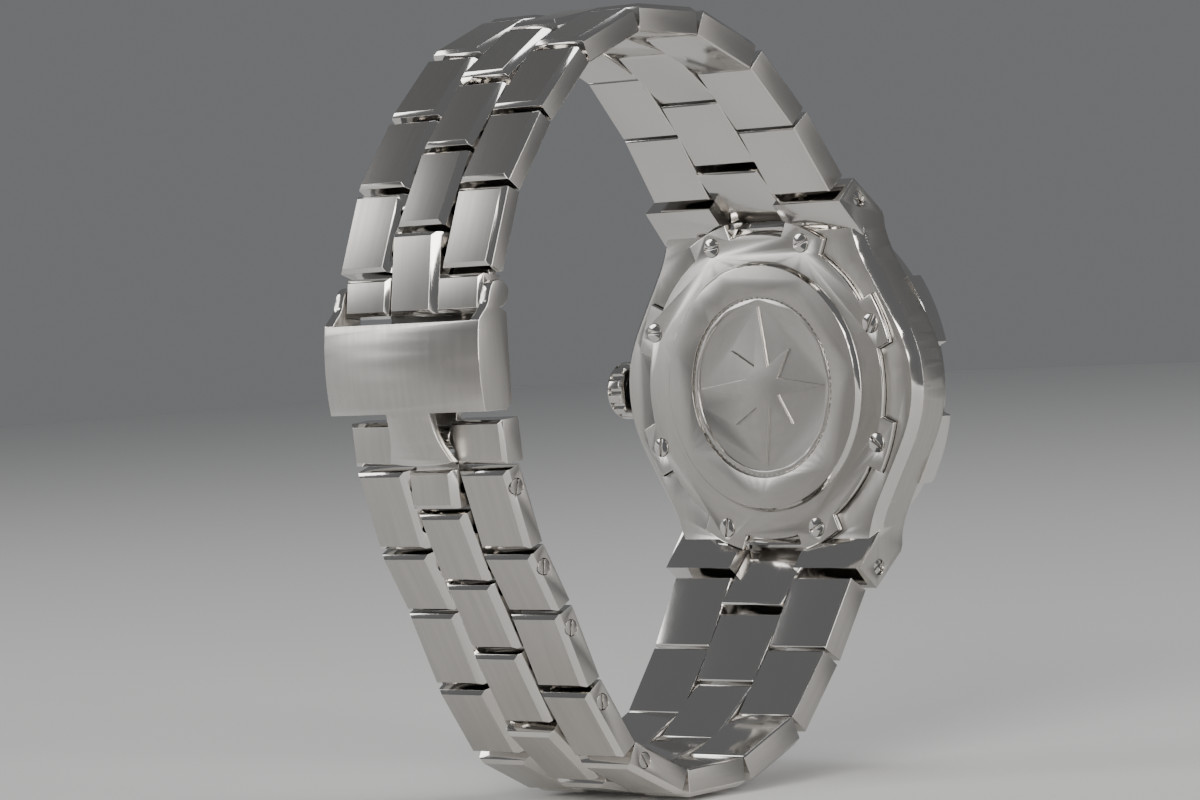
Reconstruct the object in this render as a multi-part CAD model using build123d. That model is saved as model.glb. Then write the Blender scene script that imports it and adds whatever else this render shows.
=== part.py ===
from build123d import *
import os
from math import asin, atan2, cos, degrees, hypot, radians, sin

# A steel sports wristwatch on an integrated three-row bracelet with a folding clasp.
# Millimetres. +Z points to 12 o'clock, +X to 3 o'clock (the crown), the dial faces -Y and the
# clasp lies at +Y. The origin is the centre of the case back, on the outer face of its rim plate.

# --- case ---
movement_bore_r = 13.6          # the size that the case, its cover, the bezel and the crystal follow
dial_ledge = 1.0
dial_seat_r = movement_bore_r + dial_ledge
dial_seat_depth = 0.5
crystal_ledge = 0.35            # of the bezel, under the crystal
bezel_bore_r = dial_seat_r + 0.05
crystal_r = bezel_bore_r + crystal_ledge
crystal_thickness = 1.2
crystal_back_y = -6.7
crystal_gasket_width = 0.4
crystal_bevel = 0.25
bezel_rim = 2.7
bezel_base_r = crystal_r + crystal_gasket_width + bezel_rim
bezel_lobe_r = bezel_base_r + 0.8
bezel_lobe_half_angle = 11.3
bezel_front_y = -7.6
bezel_bevel = 0.7
case_half_width = bezel_base_r + 1.6  # at 3 and 9 o'clock
case_back_y = -0.5              # plane of the case behind its rim plate
case_front_y = -4.8             # plane that the bezel sits on
case_bevel = 0.85               # polished bevel along the back edge
lug_pivot = (-1.1, bezel_base_r + 0.4)  # (y, z) of the screw through the lugs
lug_inner_tip = (lug_pivot[0] + 3.1, lug_pivot[1] - 0.15)
lug_outer_tip = (lug_pivot[0] + 0.4, lug_pivot[1] + 2.1)
lug_kink = (lug_pivot[0] - 3.5, lug_pivot[1] - 1.3)
lug_root_z = lug_pivot[1] - 2.9
lug_front_z = lug_pivot[1] - 1.9
case_lug_half_width = case_half_width - 7.0  # at the ends of the lugs
lug_gap_clearance = 0.15        # each side of the piece between the lugs
lug_room = 0.35                 # round that piece's end

# --- case back ---
gasket_r = movement_bore_r + 0.75
gasket_width = 0.8
gasket_depth = 0.5
gasket_play = 0.03
back_plate_r = movement_bore_r + 2.0
back_tab_r = back_plate_r + 1.6
tab_half_angle = 9.0
tab_play_angle = 0.2
back_seat_y = -1.4
back_clearance = 0.06
back_edge_bevel = 0.12
back_disc_r = back_plate_r - 2.8
back_disc_rise = 0.45
medallion_r = back_disc_r - 3.5
medallion_depth = 0.3
rose_points = (0.88, 0.24, 0.58, 0.24)  # radii of the compass rose, as shares of the medallion
rose_rise = 0.2
rose_ring = (0.925, 0.968)      # the ring round it, in the same way
rose_ring_rise = 0.15
back_screw_ring_r = back_plate_r
back_screw_head_r = 0.95
back_screw_head_h = 0.55
back_screw_head_proud = 0.1
back_screw_shank_r = 0.5
back_screw_length = 3.2
back_screw_play = 0.04
back_screw_slot = 0.26
back_screw_slot_depth = 0.28
back_screw_turns = (20, 75, 130, 40, 160, 95, 10, 60)

# --- dial, movement and hands ---
dial_thickness = 0.4
dial_bore_r = 1.15
marker_height = 0.3
marker_half_width = 0.45
marker_span = (dial_seat_r - 4.4, dial_seat_r - 1.7)
noon_marker = (0.2, 1.0)        # of the double one at 12 o'clock, from the middle
flange_inner_r = dial_seat_r - 1.2
hand_thickness = 0.2
hour_hand_y = -5.1
minute_hand_y = -5.6
second_hand_y = -6.1
hand_clearance = 0.05
hour_bore_r = 0.95
minute_bore_r = 0.65
second_bore_r = 0.3
movement_back_y = -2.3
movement_r = movement_bore_r - 1.0
movement_flange = 0.8
movement_hub_r = 3.0
rotor_back_y = -1.55
rotor_thickness = 0.6
rotor_r = movement_bore_r - 1.2
rotor_axle_r = 0.6
rotor_past_middle = 1.2         # how far the half disc reaches past its axle
rotor_hub_r = 2.4
rotor_recess = (3.6, rotor_r - 3.2)

# --- crown ---
tube_bore_r = 0.6
tube_r = 1.05
tube_start_x = movement_bore_r + 0.3
tube_reach = 0.5                # into the crown
stem_play = 0.05
stem_r = tube_bore_r - stem_play
stem_start_x = movement_r - 0.4
stem_reach = 1.6
crown_y = -3.2
crown_r = 3.05
crown_start_x = case_half_width + 0.3
crown_length = 2.1
crown_edge = 0.7                # radius round its face
crown_back_bevel = 0.2
crown_rim = 0.5                 # plain band past the flutes
crown_flutes = 12
crown_flute_r = 0.42
crown_flute_out = 0.08          # how far a flute's axis lies outside the crown
crown_cavity = 1.2
crown_gasket_r = tube_r + 0.9
crown_gasket_gap = 0.1

# --- bracelet ---
pitch = 8.3                     # one outer link and one gap
short_pitch = 6.85              # the half link next to the clasp's lower link
link_gap = 0.45
row_gap = 0.1                   # between the rows
pin_edge = 1.85                 # pin axis to the end of a link
lug_end_reach = 1.25            # of the centre piece between the lugs
lug_link_relief = 0.2           # taken off its other end, where the bracelet bends most
pin_depth = 1.25                 # pin axis to the wrist face
pin_r = 0.45
pin_clearance = 0.05
pin_bite = 1.7                  # how far a hidden pin enters an outer link
screw_head_r = pin_r + 0.3
screw_head_length = 0.6
screw_slot = 0.22
screw_head_clearance = 0.07
bracelet_half_at_lug = 11.7
bracelet_half_at_clasp = 9.95
centre_half_at_lug = 4.1
centre_half_at_clasp = 3.15
taper_share = 0.51              # of the bracelet from the lugs, past which it is parallel
thickness_at_lug = 3.3
thickness_at_clasp = 2.1
centre_proud = 0.15
inner_bevel = 0.85              # on the edge next to the centre row
outer_bevel = 0.5
centre_bevel = 0.65
end_bevel = 0.36
wrist_bevel = 0.15
first_pin = (lug_pivot[0] + 3.1, lug_pivot[1] + 3.05)         # (y, |z|) of the pin nearest the case
upper_angles = (55, 47, 25, 3, -22, -44, -52.7, -68.6)
lower_angles = (57.7, 50.5, 23.9, 1.9, -26.2, -56.5, -65.4, -60.4, -71.6)
screwed_lower_links = 5         # the removable links nearest the clasp

# --- clasp ---
upper_end_z = 15.39              # the last bracelet pin above the clasp
lower_end_z = 6.77              # and below it
lower_end_set_in = 0.59          # how far the lower pin lies nearer the wrist
upper_end_angle = -82
lower_end_angle = -85
upper_end_reach = 4.19           # last pin to the cover's pivot
lower_end_reach = 4.77
end_link_thickness = 2.5
end_link_start = 2.3
upper_end_length = upper_end_reach + 1.7
lower_end_length = lower_end_reach + 1.66
lower_crest_end = 1.75          # where the lower end link's centre ends, under the cover's tongue
lower_bridge_end = 3.2
cover_half_width = bracelet_half_at_clasp + 0.25
cover_wall = 0.8
cover_flank = 1.1
cover_rise = 3.2                # pivot to the crest of the outer face
cover_depth = 4.1
cover_crest_drop = 6.1          # pivot to the crest, along Z
cover_radius = 24.0             # of the outer face, which follows the wrist
cover_top_drop = 2.3
cover_bottom_drop = 10.8
ear_r = 1.3
tongue_length = 4.7
tongue_root_half = 2.85
tongue_tip_half = 4.1
tongue_bow = 0.35               # how far its lower edge curves down
blade_thickness = 0.8
blade_half_width = 6.0
inner_blade_half_width = 5.0
blade_arch = (-2.7, -1.0)        # the middle blade's arch, from the cover's pivot
blade_pin_r = 0.5
knuckle_r = 1.1
knuckle_split = centre_half_at_clasp - 0.2            # half width of the middle knuckle
fold_pivot_offset = (0.1, -9.5)  # from the cover's pivot, (y, z)
blade_pivot_offset = (-7.0, 10.9)
blade_layer_gap = 0.45
blade_play = 0.1                # each side of a knuckle
knuckle_room = 0.25             # round a knuckle
blind_wall = 0.3                # left outside a pin in the cover
seat_depth = 0.8                # of the spring bar in each cheek
head_set_in = 0.03              # of a screw head, from the face it is in
ear_play = 0.15


def direction(angle):
    return (cos(radians(angle)), sin(radians(angle)))


def travel(point, angle, distance):
    d = direction(angle)
    return (point[0] + distance * d[0], point[1] + distance * d[1])


# ---------------------------------------------------------------- bracelet route
def link_length(count, i):
    """Length of the i-th outer link, counted from the clasp."""
    return (short_pitch if count == len(lower_angles) and i == 2 else pitch) - link_gap


def route(angles):
    """Pins of every outer link from the case to the clasp: (case-side pin, clasp-side pin, angle)."""
    count, out, pin = len(angles), [], first_pin
    for k, angle in enumerate(angles):
        far = travel(pin, angle, link_length(count, count - k) - 2 * pin_edge)
        out.append((pin, far, angle))
        if k + 1 < count:
            middle = (angle + angles[k + 1]) / 2
            pin = travel(far, middle, 2 * pin_edge + link_gap)
    return out, far


def nudged(angles, turn, curl):
    n = len(angles) - 1
    return [a + turn + curl * (k / n - 0.5) for k, a in enumerate(angles)]


def route_to_height(angles, height):
    """The route whose last pin lies at this height, found by turning all its links alike."""
    turn = 0.0
    for _ in range(30):
        end = route(nudged(angles, turn, 0))[1]
        step = route(nudged(angles, turn + 0.01, 0))[1]
        turn -= (end[1] - height) * 0.01 / (step[1] - end[1])
    return nudged(angles, turn, 0)


def route_to_point(angles, target):
    """The route whose last pin lies at a point, found by turning and curling its links evenly."""
    turn = curl = 0.0
    for _ in range(40):
        y, z = route(nudged(angles, turn, curl))[1]
        yt, zt = route(nudged(angles, turn + 0.01, curl))[1]
        yc, zc = route(nudged(angles, turn, curl + 0.01))[1]
        a, b, c, d = (yt - y) / 0.01, (yc - y) / 0.01, (zt - z) / 0.01, (zc - z) / 0.01
        det = a * d - b * c
        ey, ez = target[0] - y, target[1] - z
        turn += (d * ey - b * ez) / det
        curl += (a * ez - c * ey) / det
    return nudged(angles, turn, curl)


upper_fit = route_to_height(upper_angles, upper_end_z)
upper_route, upper_end = route(upper_fit)
lower_fit = route_to_point(lower_angles, (upper_end[0] - lower_end_set_in, lower_end_z))
lower_route, lower_end = route(lower_fit)
cover_pivot = travel(upper_end, upper_end_angle, upper_end_reach)
lower_pivot = travel(lower_end, lower_end_angle, lower_end_reach)
fold_pivot = (cover_pivot[0] + fold_pivot_offset[0], cover_pivot[1] + fold_pivot_offset[1])
blade_pivot = (cover_pivot[0] + blade_pivot_offset[0], cover_pivot[1] + blade_pivot_offset[1])


# ---------------------------------------------------------------- helpers
def link_frame(point, angle, upper):
    """Local x runs along the link to the clasp, local z away from the wrist."""
    d, side = direction(angle), 1 if upper else -1
    return Plane(origin=(0, point[0], side * point[1]), x_dir=(0, d[0], side * d[1]),
                 z_dir=(0, -d[1], side * d[0])).location


def rod(x, r, y0, y1, z=0.0):
    """A cylinder across a link, in the link's frame."""
    return Pos(x, (y0 + y1) / 2, z) * Rot(90, 0, 0) * Cylinder(r, abs(y1 - y0))


def cross_rod(point, r, x0, x1):
    """A cylinder along X through a point (y, z)."""
    return Pos((x0 + x1) / 2, point[0], point[1]) * Rot(0, 90, 0) * Cylinder(r, x1 - x0)


def slab(x0, x1, y0, y1, z0, z1):
    return Pos((x0 + x1) / 2, (y0 + y1) / 2, (z0 + z1) / 2) * Box(x1 - x0, y1 - y0, z1 - z0)


def disc(r, y_back, y_front):
    """A cylinder along Y from y_back down to y_front."""
    return Pos(0, (y_back + y_front) / 2, 0) * Rot(90, 0, 0) * Cylinder(r, y_back - y_front)


def from_back(sketch, y_back, y_front):
    """A sketch in (x, z) made into a solid from y_back down to y_front."""
    return extrude(Plane.XZ.offset(-y_back) * sketch, amount=y_back - y_front)


def side_prism(points, x0, x1):
    """An outline in (y, z) made into a solid from x0 to x1."""
    face = make_face(Polyline(*points, close=True))
    return extrude(Plane.YZ.offset(x0) * face, amount=x1 - x0)


def group(*solids):
    parts = []
    for s in solids:
        parts += list(s.solids())
    return Compound(children=parts)


nodes = {}


# ---------------------------------------------------------------- bracelet links
def station(count, i, along):
    """0 at the lugs and 1 at the clasp, for a place along the i-th link."""
    return ((count - i) * pitch + along) / (count * pitch)


def at(lug_value, clasp_value, u):
    return lug_value + (clasp_value - lug_value) * u


def outer_half(u):
    """Half width of the bracelet."""
    return at(bracelet_half_at_lug, bracelet_half_at_clasp, min(u / taper_share, 1))


def centre_half(u):
    return at(centre_half_at_lug, centre_half_at_clasp, min(u / taper_share, 1))


def bevelled(body, long_bevels, end_bevel_size):
    """Bevels the outer face's long edges by side, its end edges, and the wrist face's edges."""
    body = chamfer(body.edges().group_by(Axis.Z)[0], wrist_bevel)
    top = body.edges().group_by(Axis.Z)[-1]
    ends = top.sort_by(lambda e: abs(e.tangent_at(0.5).X))[:2]
    body = chamfer(ends, end_bevel_size)
    for pick, size in long_bevels:
        top = body.edges().group_by(Axis.Z)[-1]
        longs = top.sort_by(lambda e: -abs(e.tangent_at(0.5).X))[:2]
        body = chamfer(longs.sort_by(Axis.Y)[pick], size)
    return body


def outer_links(count, i, upper):
    """The two outer pieces of a link, with its hidden pin and its pivot pin or screw."""
    length = link_length(count, i)
    half = [outer_half(station(count, i, s)) for s in (0, length)]
    inner = [centre_half(station(count, i, s)) + row_gap for s in (0, length)]
    thick = at(thickness_at_lug, thickness_at_clasp, station(count, i, length / 2))
    plan = [(0, inner[0]), (length, inner[1]), (length, half[1]), (0, half[0])]
    body = extrude(make_face(Polyline(*plan, close=True)), amount=thick)
    body = bevelled(body, ((0, inner_bevel), (-1, outer_bevel)), end_bevel)
    body = Pos(-pin_edge, 0, -pin_depth) * body
    far = length - 2 * pin_edge
    screwed = not upper and i <= screwed_lower_links
    reach = [at(inner[0], inner[1], (pin_edge + s) / length) + pin_bite for s in (0, far)]
    edge = at(half[0], half[1], (pin_edge + far) / length)
    other = mirror(body, Plane.XZ)
    hidden = rod(0, pin_r, -reach[0], reach[0])
    pivot = rod(far, pin_r, -reach[1], reach[1])
    if screwed:
        shoulder = edge - screw_head_length
        pivot = rod(far, pin_r, -shoulder, reach[1]) + rod(far, screw_head_r, -edge + head_set_in, -shoulder)
        head_room = rod(far, screw_head_r + screw_head_clearance, -edge - 1, -shoulder)
        other -= head_room
        slot = Pos(far, -edge, 0) * Rot(0, 35, 0) * Box(2 * screw_head_r + 1, 0.5, screw_slot)
        pivot -= slot
        other -= rod(far, pin_r, -edge, 0)
        body -= rod(far, pin_r, 0, reach[1])
    else:
        body -= rod(far, pin_r, 0, reach[1])
        other -= rod(far, pin_r, -reach[1], 0)
    body -= rod(0, pin_r, 0, reach[0])
    other -= rod(0, pin_r, -reach[0], 0)
    return body, other, hidden, pivot


def centre_end(count, i):
    """How far a centre piece runs past its pin, inside the i-th outer link."""
    between = link_length(count, i) - 2 * pin_edge
    return min(pin_edge, (between - link_gap) / 2)


def centre_link(u_lug, u_clasp, span, thick, reach):
    """A centre piece between two pins a span apart, in a frame on its case-side pin."""
    half = [centre_half(u) for u in (u_lug, u_clasp)]
    plan = [(-reach[0], -half[0]), (span + reach[1], -half[1]), (span + reach[1], half[1]), (-reach[0], half[0])]
    body = extrude(make_face(Polyline(*plan, close=True)), amount=thick + centre_proud)
    body = bevelled(body, ((0, centre_bevel), (-1, centre_bevel)), end_bevel)
    body = Pos(0, 0, -pin_depth) * body
    for s in (0, span):
        body -= rod(s, pin_r + pin_clearance, -20, 20)
    return body


def bracelet_side(name, chain, angles, upper):
    count = len(chain)
    for k, (case_pin, clasp_pin, angle) in enumerate(chain):
        i = count - k
        place = link_frame(case_pin, angle, upper)
        pieces = outer_links(count, i, upper)
        nodes[f"{name}_outer_links_{i}"] = group(*[place * p for p in pieces])
        thick = at(thickness_at_lug, thickness_at_clasp, station(count, i, 0))
        start = lug_pivot if k == 0 else chain[k - 1][1]
        if k == 0:
            reach = (lug_end_reach, centre_end(count, i) - lug_link_relief)
        else:
            reach = (centre_end(count, i + 1), centre_end(count, i))
        span = hypot(case_pin[0] - start[0], case_pin[1] - start[1])
        tilt = degrees(atan2(case_pin[1] - start[1], case_pin[0] - start[0]))
        u0, u1 = station(count, i, -span / 2 - pin_edge), station(count, i, pin_edge * 2)
        piece = centre_link(u0, u1, span, thick, reach)
        nodes[f"{name}_centre_link_{i}"] = link_frame(start, tilt, upper) * piece


bracelet_side("upper", upper_route, upper_fit, True)
bracelet_side("lower", lower_route, lower_fit, False)


# ---------------------------------------------------------------- end links
def end_link(length, crest_end, bridge_end, cheek_half, pivot_at, bore_half):
    """The bracelet's last piece: a centre tongue on the last pin, a bridge and two cheeks."""
    thick = end_link_thickness
    tongue_half = centre_half_at_clasp - row_gap / 2
    half_slot = centre_half_at_clasp + row_gap
    tongue = slab(-pin_edge, crest_end, -tongue_half, tongue_half, 0, thick + centre_proud)
    tongue = bevelled(tongue, ((0, centre_bevel), (-1, centre_bevel)), end_bevel)
    body = tongue
    for side in (-1, 1):
        y0, y1 = sorted((side * half_slot, side * cheek_half))
        cheek = slab(end_link_start, length, y0, y1, 0, thick)
        top = cheek.edges().group_by(Axis.Z)[-1]
        cheek = chamfer(top, end_bevel)
        body += cheek
    low = thick - inner_bevel - 0.3
    body += slab(0.8, bridge_end - 0.01, -tongue_half + 0.3, tongue_half - 0.3, 0.2, low)
    body += slab(end_link_start + 0.2, bridge_end - 0.01, -cheek_half + 1, cheek_half - 1, 0.2, low)
    body = Pos(0, 0, -pin_depth) * body
    body -= rod(0, pin_r + pin_clearance, -20, 20)
    body -= rod(pivot_at, blade_pin_r + pin_clearance, -bore_half, bore_half)
    return body


ear_inner_x = cover_half_width - cover_flank
upper_end_link = end_link(upper_end_length, upper_end_length, upper_end_length, ear_inner_x - ear_play,
                          upper_end_reach, cover_half_width)
nodes["upper_end_link"] = link_frame(upper_end, upper_end_angle, True) * upper_end_link
lower_end_link = end_link(lower_end_length, lower_crest_end, lower_bridge_end, bracelet_half_at_clasp,
                          lower_end_reach, centre_half_at_clasp + row_gap + seat_depth)
nodes["lower_end_link"] = link_frame(lower_end, lower_end_angle, False) * lower_end_link


# ---------------------------------------------------------------- clasp
def face_point(z, inset=0.0):
    """A point (y, z) on the cover's curved outer face, or that far inside it."""
    crest_y, crest_z = cover_pivot[0] + cover_rise, cover_pivot[1] - cover_crest_drop
    r = cover_radius - inset
    return (crest_y - cover_radius + (r * r - (z - crest_z) ** 2) ** 0.5, z)


def face_arc(z0, z1, inset=0.0):
    return ThreePointArc(face_point(z0, inset), face_point((z0 + z1) / 2, inset), face_point(z1, inset))


def clasp_cover():
    """A curved channel with two ears and a lifting tongue, and blind seats for its two pins."""
    y, z = cover_pivot
    back_y = y + cover_rise - cover_depth
    top, bottom = z - cover_top_drop, z - cover_bottom_drop
    tip = bottom - tongue_length
    low = tip - 1
    wall = (face_arc(top, low) + Line(face_point(low), face_point(low, cover_wall))
            + face_arc(low, top, cover_wall) + Line(face_point(top, cover_wall), face_point(top)))
    plate = extrude(Plane.YZ.offset(-cover_half_width) * make_face(wall), amount=2 * cover_half_width)
    root, end, w = tongue_root_half, tongue_tip_half, cover_half_width
    plan = make_face(Polyline((-root, bottom), (-w, bottom), (-w, top), (w, top), (w, bottom), (root, bottom))
                     + Spline((root, bottom), (root + 0.3, bottom - 0.55 * tongue_length), (end, tip))
                     + ThreePointArc((end, tip), (0, tip - tongue_bow), (-end, tip))
                     + Spline((-end, tip), (-root - 0.3, bottom - 0.55 * tongue_length), (-root, bottom)))
    body = plate & from_back(plan, y + 10, y - 10)
    for side in (-1, 1):
        x0, x1 = sorted((side * ear_inner_x, side * cover_half_width))
        rear = Polyline((y, z - ear_r), (back_y, z - ear_r - 0.5), (back_y, bottom), face_point(bottom))
        sweep = Spline(face_point(top), (y + ear_r + 0.35, z - 0.9), (y, z + ear_r), tangents=((-0.6, 1), (-1, 0)))
        crest = ThreePointArc((y, z + ear_r), (y - ear_r, z), (y, z - ear_r))
        flank = extrude(Plane.YZ.offset(x0) * make_face(rear + face_arc(bottom, top) + sweep + crest),
                        amount=x1 - x0)
        body += fillet(flank.edges().filter_by(Axis.X).group_by(Axis.Z)[0].sort_by(Axis.Y)[0], 1.0)
    for pivot, r in ((fold_pivot, blade_pin_r), (cover_pivot, blade_pin_r)):
        body -= cross_rod(pivot, r, -cover_half_width + blind_wall, cover_half_width - blind_wall)
    return body


def arc_through(a, b, c):
    """Centre and radius of the circle through three points."""
    ax, ay, bx, by, cx, cy = *a, *b, *c
    d = 2 * (ax * (by - cy) + bx * (cy - ay) + cx * (ay - by))
    ux = ((ax**2 + ay**2) * (by - cy) + (bx**2 + by**2) * (cy - ay) + (cx**2 + cy**2) * (ay - by)) / d
    uy = ((ax**2 + ay**2) * (cx - bx) + (bx**2 + by**2) * (ax - cx) + (cx**2 + cy**2) * (bx - ax)) / d
    return (ux, uy), hypot(ax - ux, ay - uy)


def strip(start, middle, end, half_width):
    """A curved plate of the blades' thickness through three points (y, z)."""
    centre, r = arc_through(start, middle, end)

    def ring(offset):
        out = []
        for p in (start, middle, end):
            k = (r + offset) / r
            out.append((centre[0] + (p[0] - centre[0]) * k, centre[1] + (p[1] - centre[1]) * k))
        return out

    far, near = ring(blade_thickness / 2), ring(-blade_thickness / 2)
    outline = (ThreePointArc(*far) + Line(far[2], near[2]) + ThreePointArc(*reversed(near))
               + Line(near[0], far[0]))
    return extrude(Plane.YZ.offset(-half_width) * make_face(outline), amount=2 * half_width)


def clasp_blades():
    hy, hz = blade_pivot
    out = direction(degrees(atan2(hz - fold_pivot[1], hy - fold_pivot[0])) - 90)
    shift = (blade_thickness + blade_layer_gap) / 2
    outer_end = (hy + out[0] * shift, hz + out[1] * shift)
    inner_end = (hy - out[0] * shift, hz - out[1] * shift)
    outer_mid = (cover_pivot[0] + blade_arch[0], cover_pivot[1] + blade_arch[1])
    inner_mid = (outer_mid[0] - 2 * shift, outer_mid[1])
    lower = (lower_pivot[0], -lower_pivot[1])
    middle = strip(fold_pivot, outer_mid, outer_end, blade_half_width)
    middle += cross_rod(fold_pivot, knuckle_r, -blade_half_width, blade_half_width)
    middle += cross_rod(blade_pivot, knuckle_r, -blade_half_width, blade_half_width)
    gap = cross_rod(blade_pivot, knuckle_r + knuckle_room, -knuckle_split - blade_play, knuckle_split + blade_play)
    middle -= gap
    middle -= cross_rod(fold_pivot, blade_pin_r + pin_clearance, -20, 20)
    middle -= cross_rod(blade_pivot, blade_pin_r, -20, 20)
    inner = strip(lower, inner_mid, inner_end, inner_blade_half_width)
    inner += cross_rod(lower, knuckle_r, -knuckle_split, knuckle_split)
    inner += cross_rod(blade_pivot, knuckle_r, -knuckle_split, knuckle_split)
    for side in (-1, 1):
        x0, x1 = sorted((side * knuckle_split, side * 20))
        inner -= cross_rod(blade_pivot, knuckle_r + knuckle_room, x0, x1)
        inner -= slab(x0, x1, lower[0] - 6, lower[0] + 6, lower[1] - 6, lower[1] + 2.4)
    inner -= cross_rod(lower, blade_pin_r, -20, 20)
    inner -= cross_rod(blade_pivot, blade_pin_r + pin_clearance, -20, 20)
    fold_pin = cross_rod(blade_pivot, blade_pin_r, -blade_half_width, blade_half_width)
    spring_bar = cross_rod(lower, blade_pin_r, -centre_half_at_clasp, centre_half_at_clasp)
    return group(middle, fold_pin), group(inner, spring_bar)


nodes["clasp_cover"] = clasp_cover()
pin_half = cover_half_width - blind_wall
nodes["clasp_cover_pins"] = group(cross_rod(cover_pivot, blade_pin_r, -pin_half, pin_half),
                                  cross_rod(fold_pivot, blade_pin_r, -pin_half, pin_half))
nodes["clasp_middle_blade"], nodes["clasp_inner_blade"] = clasp_blades()


# ---------------------------------------------------------------- case
def lobed_disc(base_r, lobe_r, half_angle):
    """A disc with eight lobes, between the hour axes and the diagonals."""
    lobes = Sketch()
    for k in range(8):
        lobe = Rectangle(lobe_r, 2 * lobe_r * sin(radians(half_angle)), align=(Align.MIN, Align.CENTER))
        lobes += Rot(0, 0, 22.5 + 45 * k) * lobe
    return Circle(base_r) + (Circle(lobe_r) & lobes)


def ring_places(r):
    return [Rot(0, -22.5 - 45 * k, 0) * Pos(r, 0, 0) for k in range(8)]


def case_outline():
    """The tonneau outline in (x, z), one quarter drawn and the rest mirrored."""
    w, lug, top = case_half_width, case_lug_half_width, lug_outer_tip[1] + 1
    bulge = Spline((w, 0), (w - 2.35, 7.4), (w - 4.85, 11.6), (lug + 0.45, lug_root_z),
                   tangents=((0, 1), (-0.25, 1)))
    side = bulge + Line((lug + 0.45, lug_root_z), (lug, top)) + Line((lug, top), (0, top))
    quarter = make_face(side + Line((0, top), (0, 0)) + Line((0, 0), (w, 0)))
    half = quarter + mirror(quarter, Plane.YZ)
    return half + mirror(half, Plane.XZ)


def case_middle():
    tips = [(case_back_y, lug_root_z), lug_inner_tip, lug_outer_tip, lug_kink, (case_front_y, lug_front_z)]
    profile = tips + [(y, -z) for y, z in reversed(tips)]
    body = side_prism(profile, -25, 25) & from_back(case_outline(), 5, -10)
    rim = body.edges().filter_by(lambda e: abs(e.center().Y - case_back_y) < 0.01
                                 and abs(e.center().X) > case_lug_half_width)
    body = chamfer(rim, case_bevel)
    reach = hypot(pin_edge, pin_depth) + lug_room
    for side in (-1, 1):
        half = centre_half_at_lug + lug_gap_clearance
        pivot = (lug_pivot[0], side * lug_pivot[1])
        body -= cross_rod(pivot, reach, -half, half)
        z0, z1 = sorted((side * (lug_pivot[1] - 0.01), side * 30))
        body -= slab(-half, half, -12, 12, z0, z1)
        z0, z1 = sorted((side * (lug_pivot[1] - 1.5), side * 30))
        body -= slab(-half, half, lug_pivot[0], 12, z0, z1)
        head_x = -case_lug_half_width + head_set_in
        body -= cross_rod(pivot, pin_r, -20, half + pin_bite)
        body -= cross_rod(pivot, screw_head_r + screw_head_clearance, -20, head_x + screw_head_length)
    body -= disc(movement_bore_r, 5, -10)
    body -= disc(dial_seat_r, case_front_y + dial_seat_depth, -10)
    body -= from_back(lobed_disc(back_plate_r + back_clearance, back_tab_r + back_clearance,
                                 tab_half_angle + tab_play_angle), 5, back_seat_y)
    groove = disc(gasket_r + gasket_width / 2, back_seat_y, back_seat_y - gasket_depth)
    body -= groove - disc(gasket_r - gasket_width / 2, back_seat_y, back_seat_y - gasket_depth)
    for place in ring_places(back_screw_ring_r):
        body -= place * disc(back_screw_shank_r, 0, -back_screw_length)
    body -= Pos(0, crown_y, 0) * Rot(0, 90, 0) * Cylinder(tube_r, 60, align=(Align.CENTER, Align.CENTER, Align.MIN))
    return body


def case_back():
    """A lobed cover plate with a raised disc and a compass rose in a sunk medallion."""
    body = from_back(lobed_disc(back_plate_r, back_tab_r, tab_half_angle), 0, back_seat_y)
    body = chamfer(body.edges().group_by(Axis.Y)[-1], back_edge_bevel)
    raised = disc(back_disc_r, back_disc_rise, -0.2)
    body += chamfer(raised.edges().group_by(Axis.Y)[-1], back_disc_rise - 0.05)
    body -= disc(medallion_r, back_disc_rise + 1, back_disc_rise - medallion_depth)
    floor_y = back_disc_rise - medallion_depth
    rays = []
    for k in range(16):
        r = medallion_r * rose_points[k % 4]
        a = radians(90 + 22.5 * k)
        rays.append((r * cos(a), r * sin(a)))
    rose = make_face(Polyline(*rays, close=True))
    body += from_back(rose, floor_y + rose_rise, floor_y - 0.05)
    ring = Circle(medallion_r * rose_ring[1]) - Circle(medallion_r * rose_ring[0])
    body += from_back(ring, floor_y + rose_ring_rise, floor_y - 0.05)
    for place in ring_places(back_screw_ring_r):
        body -= place * disc(back_screw_shank_r + back_screw_play, 1, -back_screw_length)
        body -= place * disc(back_screw_head_r + back_screw_play, 1, -back_screw_head_h)
    return body


def back_screws():
    screw = (disc(back_screw_head_r, back_screw_head_proud, -back_screw_head_h)
             + disc(back_screw_shank_r, 0, -back_screw_length))
    floor_y = back_screw_head_proud - back_screw_slot_depth
    screw -= slab(-2, 2, floor_y, 1, -back_screw_slot / 2, back_screw_slot / 2)
    places = zip(ring_places(back_screw_ring_r), back_screw_turns)
    return group(*[place * Rot(0, turn, 0) * screw for place, turn in places])


def bezel():
    body = from_back(lobed_disc(bezel_base_r, bezel_lobe_r, bezel_lobe_half_angle), case_front_y, bezel_front_y)
    body = chamfer(body.edges().group_by(Axis.Y)[0], bezel_bevel)
    body -= disc(bezel_bore_r, 0, -20)
    seat_r = crystal_r + crystal_gasket_width
    return body - disc(seat_r, crystal_back_y, -20)


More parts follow.
